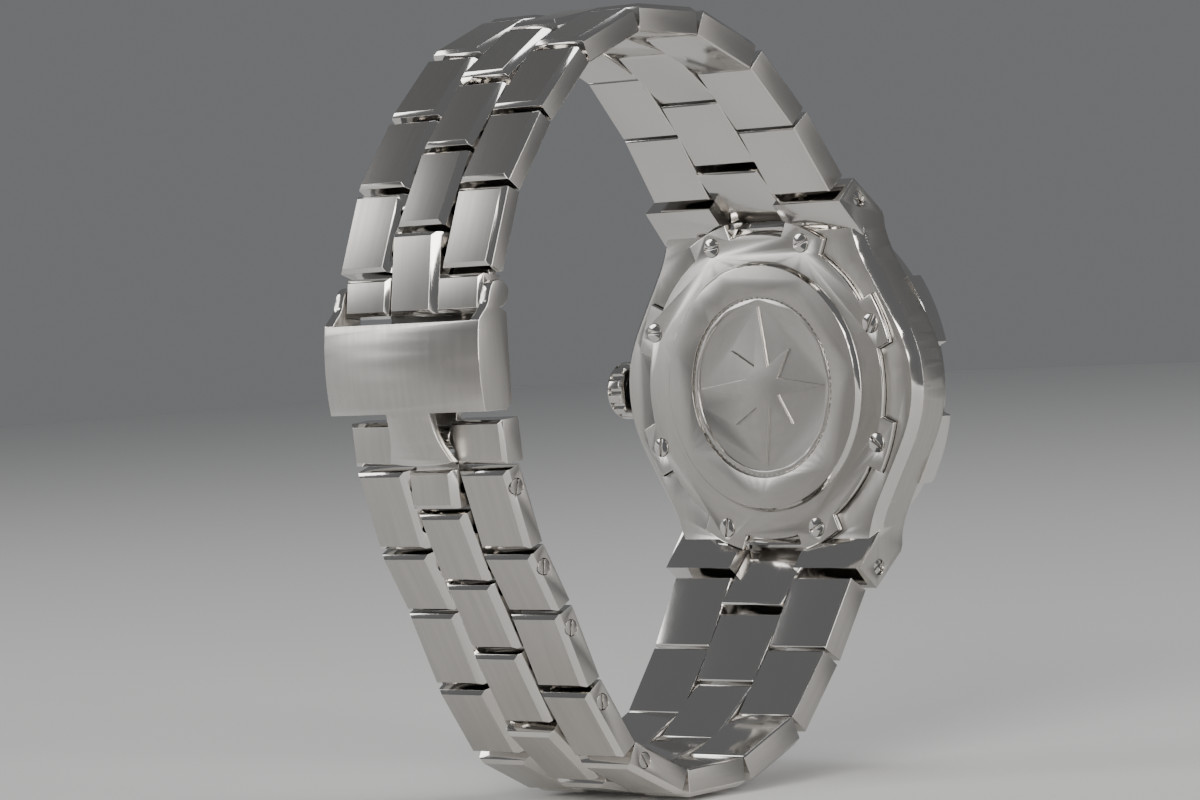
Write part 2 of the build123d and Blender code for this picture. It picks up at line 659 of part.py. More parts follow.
def lug_screws():
    out = []
    for side in (-1, 1):
        pivot = (lug_pivot[0], side * lug_pivot[1])
        tip = centre_half_at_lug + lug_gap_clearance + pin_bite
        head_x = -case_lug_half_width + head_set_in
        pin = cross_rod(pivot, pin_r, head_x, tip)
        pin += cross_rod(pivot, screw_head_r, head_x, head_x + screw_head_length)
        slot = Pos(head_x, *pivot) * Rot(30 * side, 0, 0) * Box(0.5, 3, screw_slot)
        out.append(pin - slot)
    return group(*out)


nodes["case_middle"] = case_middle()
nodes["case_back"] = case_back()
nodes["case_back_screws"] = back_screws()
nodes["case_back_gasket"] = (disc(gasket_r + gasket_width / 2 - gasket_play, back_seat_y, back_seat_y - gasket_depth)
                             - disc(gasket_r - gasket_width / 2 + gasket_play, 0, -5))
nodes["bezel"] = bezel()
nodes["lug_screws"] = lug_screws()
crystal = disc(crystal_r, crystal_back_y, crystal_back_y - crystal_thickness)
nodes["crystal"] = chamfer(crystal.edges().group_by(Axis.Y)[0], crystal_bevel)
nodes["crystal_gasket"] = (disc(crystal_r + crystal_gasket_width, crystal_back_y, bezel_front_y + 0.1)
                           - disc(crystal_r, 0, -20))

# ---------------------------------------------------------------- dial, movement and hands
dial_front_y = case_front_y + dial_seat_depth - dial_thickness
post_steps = ((hour_bore_r, hour_hand_y), (minute_bore_r, minute_hand_y), (second_bore_r, second_hand_y))


def hour_markers():
    """A bar at each hour, and two at 12 o'clock."""
    def bar(x0, x1):
        return slab(x0, x1, dial_front_y - marker_height, dial_front_y, *marker_span)

    near, far = noon_marker
    out = [bar(-far, -near), bar(near, far)]
    out += [Rot(0, 30 * k, 0) * bar(-marker_half_width, marker_half_width) for k in range(1, 12)]
    return group(*out)


def movement():
    front = case_front_y + dial_seat_depth
    body = disc(movement_r, movement_back_y, front) + disc(movement_bore_r, front + movement_flange, front)
    body += disc(rotor_axle_r, rotor_back_y - 0.1, movement_back_y)
    body += disc(movement_hub_r, movement_back_y + 0.05, movement_back_y)
    for r, y in post_steps:
        body += disc(r - hand_clearance, front, y - hand_thickness + 0.05)
    stem_room = Pos(0, crown_y, 0) * Rot(0, 90, 0)
    body -= stem_room * Cylinder(stem_r + 0.1, 60, align=(Align.CENTER, Align.CENTER, Align.MIN)) \
        & slab(stem_start_x - 1.6, 20, -10, 10, -5, 5)
    return body


def hand(length, tail, half_width, hub_r, bore_r, y, minutes):
    """A straight hand pointing at a minute of the dial, at a height y over it."""
    blade = make_face(Polyline((-half_width, -tail), (half_width, -tail), (half_width, length - 2 * half_width),
                               (0, length), (-half_width, length - 2 * half_width), close=True))
    body = from_back(blade + Circle(hub_r), y, y - hand_thickness)
    body -= disc(bore_r, 0, -20)
    return Rot(0, 6 * minutes, 0) * body


nodes["dial"] = disc(dial_seat_r, case_front_y + dial_seat_depth, dial_front_y) - disc(dial_bore_r, 0, -20)
nodes["hour_markers"] = hour_markers()
nodes["flange_ring"] = disc(dial_seat_r, dial_front_y, crystal_back_y) - disc(flange_inner_r, 0, -20)
nodes["movement"] = movement()
reach = marker_span[0]
nodes["hour_hand"] = hand(reach - 2.2, 2.2, 0.75, 1.7, post_steps[0][0], hour_hand_y, 50.75)
nodes["minute_hand"] = hand(reach + 1.8, 2.6, 0.6, 1.4, post_steps[1][0], minute_hand_y, 9)
nodes["second_hand"] = hand(reach + 2.4, 4.0, 0.2, 0.9, post_steps[2][0], second_hand_y, 32)
rotor_half = Circle(rotor_r) & (Pos(0, -rotor_r / 2 + rotor_past_middle)
                                * Rectangle(2 * rotor_r, rotor_r + 2 * rotor_past_middle))
rotor_plan = rotor_half + Circle(rotor_hub_r)
rotor_cut = ((Circle(rotor_recess[1]) - Circle(rotor_recess[0]))
             & Pos(0, -rotor_r / 2 - 1) * Rectangle(2 * rotor_r, rotor_r))
rotor = from_back(rotor_plan, rotor_back_y, rotor_back_y - rotor_thickness)
rotor -= from_back(rotor_cut, rotor_back_y + 1, rotor_back_y - 0.3)
nodes["rotor"] = rotor - disc(rotor_axle_r + hand_clearance, 0, -20)


# ---------------------------------------------------------------- crown
def along_x(x0, x1, r):
    return Pos((x0 + x1) / 2, crown_y, 0) * Rot(0, 90, 0) * Cylinder(r, x1 - x0)


def crown():
    end = crown_start_x + crown_length
    body = along_x(crown_start_x, end, crown_r)
    body = fillet(body.edges().group_by(Axis.X)[-1], crown_edge)
    body = chamfer(body.edges().group_by(Axis.X)[0], crown_back_bevel)
    for k in range(crown_flutes):
        turn = Pos(0, crown_y, 0) * Rot(360 / crown_flutes * k, 0, 0) * Pos(0, -crown_y, 0)
        flute = Pos(0, 0, crown_r + crown_flute_out) * along_x(crown_start_x - 1, end - crown_rim, crown_flute_r)
        body -= turn * flute
    body -= along_x(crown_start_x - 1, crown_start_x + crown_cavity, crown_gasket_r)
    return body - along_x(crown_start_x - 1, crown_start_x + stem_reach, stem_r)


tube_end_x = crown_start_x + tube_reach
nodes["crown"] = crown()
nodes["winding_stem"] = along_x(stem_start_x, crown_start_x + stem_reach, stem_r)
nodes["crown_tube"] = along_x(tube_start_x, tube_end_x, tube_r) - along_x(10, 40, tube_bore_r)
nodes["crown_gasket"] = (along_x(tube_end_x + crown_gasket_gap, crown_start_x + crown_cavity, crown_gasket_r - gasket_play)
                         - along_x(10, 40, stem_r + gasket_play))

if __name__ == "__main__":
    os.makedirs("parts", exist_ok=True)
    for name, shape in nodes.items():
        export_step(shape, f"parts/{name}.step")
    print(len(nodes), "nodes; cover pivot", cover_pivot, "lower pivot", lower_pivot)
    print("upper end", upper_end, "lower end", lower_end)
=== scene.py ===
import math

import bpy
from mathutils import Matrix, Vector


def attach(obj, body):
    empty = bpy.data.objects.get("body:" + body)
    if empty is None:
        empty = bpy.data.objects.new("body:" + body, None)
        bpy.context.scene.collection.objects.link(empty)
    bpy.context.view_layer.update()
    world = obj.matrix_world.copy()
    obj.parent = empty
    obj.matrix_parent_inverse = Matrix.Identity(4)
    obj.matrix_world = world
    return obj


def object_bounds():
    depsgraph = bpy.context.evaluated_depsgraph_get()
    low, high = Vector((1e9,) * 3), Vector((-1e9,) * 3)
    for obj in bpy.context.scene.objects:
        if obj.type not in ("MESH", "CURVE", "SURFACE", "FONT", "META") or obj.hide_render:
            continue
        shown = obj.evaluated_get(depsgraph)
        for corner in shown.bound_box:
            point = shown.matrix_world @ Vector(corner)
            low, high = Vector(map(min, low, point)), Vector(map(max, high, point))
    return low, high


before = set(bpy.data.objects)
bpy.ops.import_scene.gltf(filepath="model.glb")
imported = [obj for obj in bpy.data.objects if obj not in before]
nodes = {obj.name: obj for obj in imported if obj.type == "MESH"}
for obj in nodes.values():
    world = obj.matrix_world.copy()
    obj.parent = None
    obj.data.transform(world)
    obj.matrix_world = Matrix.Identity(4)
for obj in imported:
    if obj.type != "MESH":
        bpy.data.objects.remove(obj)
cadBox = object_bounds()
print("frame loaded:", len(nodes), "nodes")

upAxis = Vector((0, 0, 1))
backAxis = Vector((0, 1, 0))  # from the case into the wrist
crownAxis = Vector((1, 0, 0))

cameraSettings = {
    "place": (-0.3035, 0.3567, 0.0128),
    "aim": (-0.01024, 0.0360, 0.00057),
    "roll": math.radians(-3.34),
    "lens": 137.7,
    "sensor": 36.0,
    "clip": 0.01,
}

roomSettings = {
    "floorDrop": 0.0002,
    "floorSize": 2.4,
    "floorColour": (0.78, 0.78, 0.77, 1),
    "floorRoughness": 0.7,
    "lightAim": (0.0, 0.025, 0.0),
    "worldColour": (0.80, 0.82, 0.85),
    "worldStrength": 0.20,
    "lights": (  # name, place, size across and up, watts, colour
        ("keyPanel", (-0.35, 0.95, 0.30), (0.55, 0.50), 8.0, (1.0, 0.97, 0.93)),
        ("sidePanel", (-0.80, 0.05, 0.20), (0.35, 0.60), 5.5, (1.0, 0.98, 0.96)),
        ("topPanel", (-0.10, -0.05, 0.95), (0.45, 0.30), 2.2, (0.97, 0.98, 1.0)),
        ("rimPanel", (0.70, 0.40, 0.25), (0.25, 0.45), 1.8, (1.0, 1.0, 1.0)),
    ),
}


def lookFrom(place, aim, roll):
    view = (Vector(aim) - Vector(place)).normalized()
    right = view.cross(upAxis).normalized()
    up = right.cross(view)
    tilt = Matrix.Rotation(-roll, 3, view)
    right, up = tilt @ right, tilt @ up
    turn = Matrix((right, up, -view)).transposed().to_4x4()
    return Matrix.Translation(place) @ turn


def makeCamera(settings):
    data = bpy.data.cameras.new("viewCamera")
    data.lens = settings["lens"]
    data.sensor_width = settings["sensor"]
    data.clip_start = settings["clip"]
    camera = bpy.data.objects.new("viewCamera", data)
    camera.matrix_world = lookFrom(settings["place"], settings["aim"], settings["roll"])
    bpy.context.scene.collection.objects.link(camera)
    bpy.context.scene.camera = camera


def makeLight(name, place, size, watts, colour, aim):
    data = bpy.data.lights.new(name, "AREA")
    data.shape = "RECTANGLE"
    data.size, data.size_y = size
    data.energy = watts
    data.color = colour
    light = bpy.data.objects.new(name, data)
    light.matrix_world = lookFrom(place, aim, 0.0)
    bpy.context.scene.collection.objects.link(light)


def makeRoom(settings):
    world = bpy.data.worlds.new("studioWorld")
    world.use_nodes = True
    background = world.node_tree.nodes["Background"]
    background.inputs["Color"].default_value = (*settings["worldColour"], 1)
    background.inputs["Strength"].default_value = settings["worldStrength"]
    bpy.context.scene.world = world
    for name, place, size, watts, colour in settings["lights"]:
        makeLight(name, place, size, watts, colour, settings["lightAim"])
    half = settings["floorSize"] / 2
    level = cadBox[0].z - settings["floorDrop"]
    mesh = bpy.data.meshes.new("floor")
    corners = [(-half, -half, level), (half, -half, level), (half, half, level), (-half, half, level)]
    mesh.from_pydata(corners, [], [(0, 1, 2, 3)])
    floor = bpy.data.objects.new("floor", mesh)
    bpy.context.scene.collection.objects.link(floor)
    floorMaterial = bpy.data.materials.new("paleFloor")
    floorMaterial.use_nodes = True
    shader = floorMaterial.node_tree.nodes["Principled BSDF"]
    shader.inputs["Base Color"].default_value = settings["floorColour"]
    shader.inputs["Roughness"].default_value = settings["floorRoughness"]
    mesh.materials.append(floorMaterial)


makeCamera(cameraSettings)
makeRoom(roomSettings)
print("camera and room ready")


def addNode(tree, kind, **settings):
    node = tree.nodes.new(kind)
    for key, value in settings.items():
        setattr(node, key, value)
    return node


# links an output, or sets a plain value
def feed(tree, socket, value):
    if isinstance(value, bpy.types.NodeSocket):
        tree.links.new(value, socket)
    else:
        socket.default_value = value


def maths(tree, operation, first, second=None, third=None):
    node = addNode(tree, "ShaderNodeMath", operation=operation)
    for socket, value in zip(node.inputs, (first, second, third)):
        if value is not None:
            feed(tree, socket, value)
    return node.outputs[0]


def dot(tree, first, second):
    node = addNode(tree, "ShaderNodeVectorMath", operation="DOT_PRODUCT")
    feed(tree, node.inputs[0], first)
    feed(tree, node.inputs[1], second)
    return node.outputs["Value"]


def mixValue(tree, factor, first, second):
    node = addNode(tree, "ShaderNodeMix", data_type="FLOAT")
    feed(tree, node.inputs[0], factor)
    feed(tree, node.inputs[2], first)
    feed(tree, node.inputs[3], second)
    return node.outputs[0]


def mixColour(tree, factor, first, second):
    node = addNode(tree, "ShaderNodeMix", data_type="RGBA")
    feed(tree, node.inputs[0], factor)
    feed(tree, node.inputs[6], first)
    feed(tree, node.inputs[7], second)
    return node.outputs[2]


def stepUp(tree, value, low, high):
    node = addNode(tree, "ShaderNodeMapRange", interpolation_type="SMOOTHSTEP")
    feed(tree, node.inputs["Value"], value)
    feed(tree, node.inputs["From Min"], low)
    feed(tree, node.inputs["From Max"], high)
    return node.outputs["Result"]


def noise(tree, vector, scale, detail=2.0, roughness=0.5):
    node = addNode(tree, "ShaderNodeTexNoise", noise_dimensions="3D")
    feed(tree, node.inputs["Vector"], vector)
    feed(tree, node.inputs["Scale"], scale)
    feed(tree, node.inputs["Detail"], detail)
    feed(tree, node.inputs["Roughness"], roughness)
    return node.outputs["Fac"]


# an empty shader group. inputs: (name, socket type, start value); outputs: (name, socket type)
def newGroup(name, inputs, outputs):
    tree = bpy.data.node_groups.new(name, "ShaderNodeTree")
    for label, kind, value in inputs:
        socket = tree.interface.new_socket(label, in_out="INPUT", socket_type=kind)
        socket.default_value = value
    for label, kind in outputs:
        tree.interface.new_socket(label, in_out="OUTPUT", socket_type=kind)
    return tree, tree.nodes.new("NodeGroupInput"), tree.nodes.new("NodeGroupOutput")


def useGroup(tree, group, **values):
    node = addNode(tree, "ShaderNodeGroup", node_tree=group)
    for label, value in values.items():
        feed(tree, node.inputs[label], value)
    return node


floatSocket, vectorSocket = "NodeSocketFloat", "NodeSocketVector"

grain = {"scale": 1.0, "detail": 2.0, "height": 0.6, "tone": 0.55}  # the noise of any cut surface
grinding = {"lines": 9000.0, "run": 160.0, "broad": (0.16, 0.16, 0.5)}  # per metre across, along
circles = {"lines": 9000.0, "run": 3.0, "broad": (0.12, 1.0, 0.12)}
wear = {
    "turns": ((0.6, 0.2, 0.9), (1.9, 0.8, 0.3), (2.7, 1.7, 1.4)),
    "hairlines": (2600.0, 60.0, 60.0),
    "shown": (0.70, 0.76),
    "smudgeScale": 190.0,
    "smudgeDetail": 3.0,
    "smudgeRoughness": 0.6,
}
turnedAway = {"low": 0.90, "high": 0.985}  # cosines between which a face stops being satin


def cutNoise(tree, vector, roughness):
    return noise(tree, vector, grain["scale"], grain["detail"], roughness)


# straight grinding lines along one direction, the same on a top and on a flank
def buildBrushing():
    tree, given, out = newGroup(
        "brushing",
        (("Place", vectorSocket, (0, 0, 0)), ("Along", vectorSocket, (0, 0, 1)),
         ("Across", vectorSocket, (1, 0, 0)), ("Outward", vectorSocket, (0, 1, 0)),
         ("Lines", floatSocket, grinding["lines"]), ("Run", floatSocket, grinding["run"])),
        (("Height", floatSocket), ("Tone", floatSocket)))
    place = given.outputs["Place"]
    along = dot(tree, place, given.outputs["Along"])
    across = dot(tree, place, given.outputs["Across"])
    outward = dot(tree, place, given.outputs["Outward"])
    lines, run = given.outputs["Lines"], given.outputs["Run"]
    fine = addNode(tree, "ShaderNodeCombineXYZ")
    feed(tree, fine.inputs[0], maths(tree, "MULTIPLY", across, lines))
    feed(tree, fine.inputs[1], maths(tree, "MULTIPLY", outward, lines))
    feed(tree, fine.inputs[2], maths(tree, "MULTIPLY", along, run))
    height = cutNoise(tree, fine.outputs[0], grain["height"])
    broad = addNode(tree, "ShaderNodeVectorMath", operation="MULTIPLY")
    feed(tree, broad.inputs[0], fine.outputs[0])
    feed(tree, broad.inputs[1], grinding["broad"])
    tone = cutNoise(tree, broad.outputs[0], grain["tone"])
    feed(tree, out.inputs["Height"], height)
    feed(tree, out.inputs["Tone"], tone)
    return tree


# fine turned circles about the Y axis through a centre
def buildTurning():
    tree, given, out = newGroup(
        "turning",
        (("Place", vectorSocket, (0, 0, 0)), ("Lines", floatSocket, circles["lines"]),
         ("Run", floatSocket, circles["run"])),
        (("Height", floatSocket), ("Tone", floatSocket)))
    parts = addNode(tree, "ShaderNodeSeparateXYZ")
    feed(tree, parts.inputs[0], given.outputs["Place"])
    across = maths(tree, "POWER", parts.outputs["X"], 2.0)
    up = maths(tree, "POWER", parts.outputs["Z"], 2.0)
    radius = maths(tree, "SQRT", maths(tree, "ADD", across, up))
    angle = maths(tree, "ARCTAN2", parts.outputs["Z"], parts.outputs["X"])
    swirl = addNode(tree, "ShaderNodeCombineXYZ")
    feed(tree, swirl.inputs[0], maths(tree, "MULTIPLY", radius, given.outputs["Lines"]))
    feed(tree, swirl.inputs[1], maths(tree, "MULTIPLY", angle, given.outputs["Run"]))
    feed(tree, swirl.inputs[2], maths(tree, "MULTIPLY", parts.outputs["Y"], given.outputs["Lines"]))
    height = cutNoise(tree, swirl.outputs[0], grain["height"])
    broad = addNode(tree, "ShaderNodeVectorMath", operation="MULTIPLY")
    feed(tree, broad.inputs[0], swirl.outputs[0])
    feed(tree, broad.inputs[1], circles["broad"])
    feed(tree, out.inputs["Height"], height)
    feed(tree, out.inputs["Tone"], cutNoise(tree, broad.outputs[0], grain["tone"]))
    return tree


# what handling leaves: hairline scratches, and faint smudges
def buildHandling():
    tree, given, out = newGroup(
        "handling",
        (("Place", vectorSocket, (0, 0, 0)), ("Size", floatSocket, 1.0)),
        (("Hairlines", floatSocket), ("Smudge", floatSocket)))
    place = addNode(tree, "ShaderNodeVectorMath", operation="SCALE")
    feed(tree, place.inputs[0], given.outputs["Place"])
    feed(tree, place.inputs["Scale"], given.outputs["Size"])
    lines = None
    for turn in wear["turns"]:
        mapping = addNode(tree, "ShaderNodeMapping")
        feed(tree, mapping.inputs["Vector"], place.outputs[0])
        feed(tree, mapping.inputs["Rotation"], turn)
        feed(tree, mapping.inputs["Scale"], wear["hairlines"])
        one = stepUp(tree, noise(tree, mapping.outputs[0], 1.0, 1.0), *wear["shown"])
        lines = one if lines is None else maths(tree, "MAXIMUM", lines, one)
    feed(tree, out.inputs["Hairlines"], lines)
    smudge = noise(tree, place.outputs[0], wear["smudgeScale"], wear["smudgeDetail"],
                   wear["smudgeRoughness"])
    feed(tree, out.inputs["Smudge"], smudge)
    return tree


# 1 where the surface faces a direction, falling to 0 as it turns away
def buildFacing():
    tree, given, out = newGroup(
        "facing",
        (("Normal", vectorSocket, (0, 0, 1)), ("Direction", vectorSocket, (0, 1, 0)),
         ("Low", floatSocket, turnedAway["low"]), ("High", floatSocket, turnedAway["high"])),
        (("Mask", floatSocket),))
    cosine = dot(tree, given.outputs["Normal"], given.outputs["Direction"])
    feed(tree, out.inputs["Mask"], stepUp(tree, cosine, given.outputs["Low"], given.outputs["High"]))
    return tree


brushing, turning = buildBrushing(), buildTurning()
handling, facing = buildHandling(), buildFacing()

steel = {
    "satinColour": (0.53, 0.51, 0.485, 1),
    "satinDark": (0.41, 0.395, 0.375, 1),
    "polishedColour": (0.66, 0.64, 0.615, 1),
    "satinRoughness": (0.27, 0.38),
    "polishedRoughness": (0.07, 0.16),
    "bumpDistance": 0.00001,
    "satinBump": 0.16,
    "polishedBump": 0.012,
    "smudgeBump": 0.3,
    "wornHaze": (0.5, 0.5),  # shares of hairlines and smudges where satin and polish meet on a piece
    "mirrorHaze": (0.6, 0.4),
    "dull": 0.86,
    "flankTurn": (0.08, 0.22),  # how far a case flank leans before it is polished
}


def startMaterial(name):
    material = bpy.data.materials.new(name)
    material.use_nodes = True
    tree = material.node_tree
    shader = tree.nodes["Principled BSDF"]
    coords = addNode(tree, "ShaderNodeTexCoord")
    return material, tree, shader, coords


def bump(tree, height, strength, distance):
    node = addNode(tree, "ShaderNodeBump")
    node.inputs["Strength"].default_value = 1.0
    node.inputs["Distance"].default_value = distance
    scaled = maths(tree, "MULTIPLY", height, strength)
    feed(tree, node.inputs["Height"], scaled)
    return node.outputs["Normal"]


def hazeOf(tree, hairlines, smudge, shares):
    lined = maths(tree, "MULTIPLY", hairlines, shares[0])
    smudged = maths(tree, "MULTIPLY", smudge, shares[1])
    return maths(tree, "ADD", lined, smudged)


# puts satin where the mask is 1 and a handled mirror polish where it is 0
def finishSteel(material, tree, shader, coords, satin, height, tone):
    worn = useGroup(tree, handling, Place=coords.outputs["Object"])
    hairlines, smudge = worn.outputs["Hairlines"], worn.outputs["Smudge"]
    satinColour = mixColour(tree, tone, steel["satinDark"], steel["satinColour"])
    feed(tree, shader.inputs["Base Color"], mixColour(tree, satin, steel["polishedColour"], satinColour))
    low, high = steel["satinRoughness"]
    satinRoughness = mixValue(tree, tone, high, low)
    low, high = steel["polishedRoughness"]
    haze = hazeOf(tree, hairlines, smudge, steel["wornHaze"])
    polishedRoughness = mixValue(tree, haze, low, high)
    feed(tree, shader.inputs["Roughness"], mixValue(tree, satin, polishedRoughness, satinRoughness))
    strength = mixValue(tree, satin, steel["polishedBump"], steel["satinBump"])
    feed(tree, shader.inputs["Normal"], bump(tree, height, strength, steel["bumpDistance"]))
    shader.inputs["Metallic"].default_value = 1.0
    return material


# a link's steel: satin along its top and flanks, polished bevels, ends and wrist face
def linkSteel(name, along, outward):
    material, tree, shader, coords = startMaterial(name)
    normal = coords.outputs["Normal"]
    across = along.cross(outward)
    lines = useGroup(tree, brushing, Place=coords.outputs["Object"], Along=along, Across=across,
                     Outward=outward)
    top = useGroup(tree, facing, Normal=normal, Direction=outward).outputs["Mask"]
    side = useGroup(tree, facing, Normal=normal, Direction=crownAxis).outputs["Mask"]
    otherSide = useGroup(tree, facing, Normal=normal, Direction=-crownAxis).outputs["Mask"]
    satin = maths(tree, "MAXIMUM", top, maths(tree, "MAXIMUM", side, otherSide))
    return finishSteel(material, tree, shader, coords, satin, lines.outputs["Height"],
                       lines.outputs["Tone"])


# satin on the back, flanks and front, with the bevels and the slopes of the lugs polished
def caseSteel(name):
    material, tree, shader, coords = startMaterial(name)
    normal, place = coords.outputs["Normal"], coords.outputs["Object"]
    flat = useGroup(tree, facing, Normal=normal, Direction=backAxis).outputs["Mask"]
    parts = addNode(tree, "ShaderNodeSeparateXYZ")
    feed(tree, parts.inputs[0], normal)
    flank = maths(tree, "SUBTRACT", 1.0, stepUp(tree, parts.outputs["Y"], *steel["flankTurn"]))
    back = useGroup(tree, brushing, Place=place, Along=upAxis, Across=crownAxis, Outward=backAxis)
    around = useGroup(tree, brushing, Place=place, Along=upAxis, Across=backAxis,
                      Outward=Vector((0, 0, 0)))
    height = mixValue(tree, flat, around.outputs["Height"], back.outputs["Height"])
    tone = mixValue(tree, flat, around.outputs["Tone"], back.outputs["Tone"])
    return finishSteel(material, tree, shader, coords, maths(tree, "MAXIMUM", flat, flank), height, tone)


# turned circles on faces across the Y axis, polished elsewhere
def turnedSteel(name):
    material, tree, shader, coords = startMaterial(name)
    normal = coords.outputs["Normal"]
    flat = useGroup(tree, facing, Normal=normal, Direction=backAxis).outputs["Mask"]
    front = useGroup(tree, facing, Normal=normal, Direction=-backAxis).outputs["Mask"]
    cut = useGroup(tree, turning, Place=coords.outputs["Object"])
    return finishSteel(material, tree, shader, coords, maths(tree, "MAXIMUM", flat, front),
                       cut.outputs["Height"], cut.outputs["Tone"])


def polishedSteel(name, colour=None, extraRoughness=0.0):
    material, tree, shader, coords = startMaterial(name)
    worn = useGroup(tree, handling, Place=coords.outputs["Object"])
    colour = colour or steel["polishedColour"]
    dull = tuple(steel["dull"] * part for part in colour[:3]) + (1,)
    feed(tree, shader.inputs["Base Color"], mixColour(tree, worn.outputs["Smudge"], colour, dull))
    low, high = steel["polishedRoughness"]
    haze = hazeOf(tree, worn.outputs["Hairlines"], worn.outputs["Smudge"], steel["mirrorHaze"])
    roughness = mixValue(tree, haze, low + extraRoughness, high + extraRoughness)
    feed(tree, shader.inputs["Roughness"], roughness)
    normal = bump(tree, worn.outputs["Smudge"], steel["smudgeBump"], steel["bumpDistance"])
    feed(tree, shader.inputs["Normal"], normal)
    shader.inputs["Metallic"].default_value = 1.0
    return material


rubberFinish = {
    "scale": 5200.0,
    "colours": ((0.018, 0.018, 0.02, 1), (0.035, 0.035, 0.037, 1)),
    "roughness": (0.5, 0.7),
    "bump": (0.5, 0.00002),  # share, and depth in metres
}
lumeFinish = {
    "scale": 9000.0,
    "colours": ((0.70, 0.74, 0.66, 1), (0.80, 0.83, 0.76, 1)),
    "roughness": (0.55, 0.75),
    "bump": (0.4, 0.00002),
}


def grainedMaterial(name, settings):
    material, tree, shader, coords = startMaterial(name)
    speckle = noise(tree, coords.outputs["Object"], settings["scale"])
    feed(tree, shader.inputs["Base Color"], mixColour(tree, speckle, *settings["colours"]))
    feed(tree, shader.inputs["Roughness"], mixValue(tree, speckle, *settings["roughness"]))
    feed(tree, shader.inputs["Normal"], bump(tree, speckle, *settings["bump"]))
    return material


sapphire = {"colour": (0.97, 0.985, 1.0, 1), "bend": 1.2, "coat": 0.2, "roughness": (0.0, 0.03)}


def crystalMaterial():
    material, tree, shader, coords = startMaterial("sapphire")
    worn = useGroup(tree, handling, Place=coords.outputs["Object"])
    shader.inputs["Base Color"].default_value = sapphire["colour"]
    shader.inputs["Transmission Weight"].default_value = 1.0
    shader.inputs["IOR"].default_value = sapphire["bend"]
    shader.inputs["Coat Weight"].default_value = sapphire["coat"]
    roughness = mixValue(tree, worn.outputs["Hairlines"], *sapphire["roughness"])
    feed(tree, shader.inputs["Roughness"], roughness)
    return material


lacquer = {
    "rays": (160.0, 20.0),  # how fine the sunray is around and outwards
    "colours": ((0.006, 0.010, 0.022, 1), (0.020, 0.032, 0.060, 1)),
    "roughness": (0.28, 0.40),
    "bump": (0.5, 0.00001),
    "metal": 0.6,
    "coat": 0.7,
    "coatRoughness": 0.04,
}


# dark lacquer over a sunray brushing that runs out from the centre
def dialMaterial():
    material, tree, shader, coords = startMaterial("dialLacquer")
    parts = addNode(tree, "ShaderNodeSeparateXYZ")
    feed(tree, parts.inputs[0], coords.outputs["Object"])
    angle = maths(tree, "ARCTAN2", parts.outputs["Z"], parts.outputs["X"])
    rays = addNode(tree, "ShaderNodeCombineXYZ")
    feed(tree, rays.inputs[0], maths(tree, "MULTIPLY", angle, lacquer["rays"][0]))
    feed(tree, rays.inputs[1], maths(tree, "MULTIPLY", parts.outputs["X"], lacquer["rays"][1]))
    streak = noise(tree, rays.outputs[0], 1.0)
    feed(tree, shader.inputs["Base Color"], mixColour(tree, streak, *lacquer["colours"]))
    feed(tree, shader.inputs["Roughness"], mixValue(tree, streak, *lacquer["roughness"]))
    feed(tree, shader.inputs["Normal"], bump(tree, streak, *lacquer["bump"]))
    shader.inputs["Metallic"].default_value = lacquer["metal"]
    shader.inputs["Coat Weight"].default_value = lacquer["coat"]
    shader.inputs["Coat Roughness"].default_value = lacquer["coatRoughness"]
    return material


edgeSettings = {"weld": 0.000002, "flat": math.radians(0.6), "sharp": math.radians(22), "segments": 2}


# joins a part's loose triangles, then eases its sharp edges by a small rounded bevel
def easeEdges(piece, width):
    weld = piece.modifiers.new("joinTriangles", "WELD")
    weld.merge_threshold = edgeSettings["weld"]
    dissolve = piece.modifiers.new("flatFaces", "DECIMATE")
    dissolve.decimate_type = "DISSOLVE"
    dissolve.angle_limit = edgeSettings["flat"]
    ease = piece.modifiers.new("easedEdges", "BEVEL")
    ease.width = width
    ease.segments = edgeSettings["segments"]
    ease.limit_method = "ANGLE"
    ease.angle_limit = edgeSettings["sharp"]
    ease.harden_normals = True
    ease.use_clamp_overlap = True
    for face in piece.data.polygons:
        face.use_smooth = True


def paint(piece, material):
    piece.data.materials.clear()
    piece.data.materials.append(material)


# the direction that a link's top faces, from the area of its faces
def largestOutwardFace(piece, centre):
    areas = {}
    for face in piece.data.polygons:
        normal = face.normal
        if abs(normal.x) < bracelet["flankLean"] and normal.dot(face.center - centre) > 0:
            key = (round(normal.y, 2), round(normal.z, 2))
            areas[key] = areas.get(key, 0.0) + face.area
    y, z = max(areas, key=areas.get)
    return Vector((0, y, z)).normalized()


bracelet = {"edgeEase": 0.00007, "loopCentre": Vector((0, 0.024, 0)), "flankLean": 0.1}


def finishBracelet():
    for name, piece in nodes.items():
        if "outer_links" not in name and "centre_link" not in name and "end_link" not in name:
            continue
        outward = largestOutwardFace(piece, bracelet["loopCentre"])
        along = outward.cross(crownAxis)
        paint(piece, linkSteel(name + "_steel", along, outward))
        easeEdges(piece, bracelet["edgeEase"])


finishBracelet()
print("bracelet finished")

clasp = {"edgeEase": 0.00010, "bladeEase": 0.00006}


def finishClasp():
    cover = nodes["clasp_cover"]
    paint(cover, linkSteel("coverSteel", -upAxis, backAxis))
    easeEdges(cover, clasp["edgeEase"])
    for name in ("clasp_middle_blade", "clasp_inner_blade"):
        outward = largestOutwardFace(nodes[name], bracelet["loopCentre"])
        paint(nodes[name], linkSteel(name + "_steel", outward.cross(crownAxis), outward))
        easeEdges(nodes[name], clasp["bladeEase"])
    paint(nodes["clasp_cover_pins"], polishedSteel("pinSteel"))
    easeEdges(nodes["clasp_cover_pins"], clasp["bladeEase"])


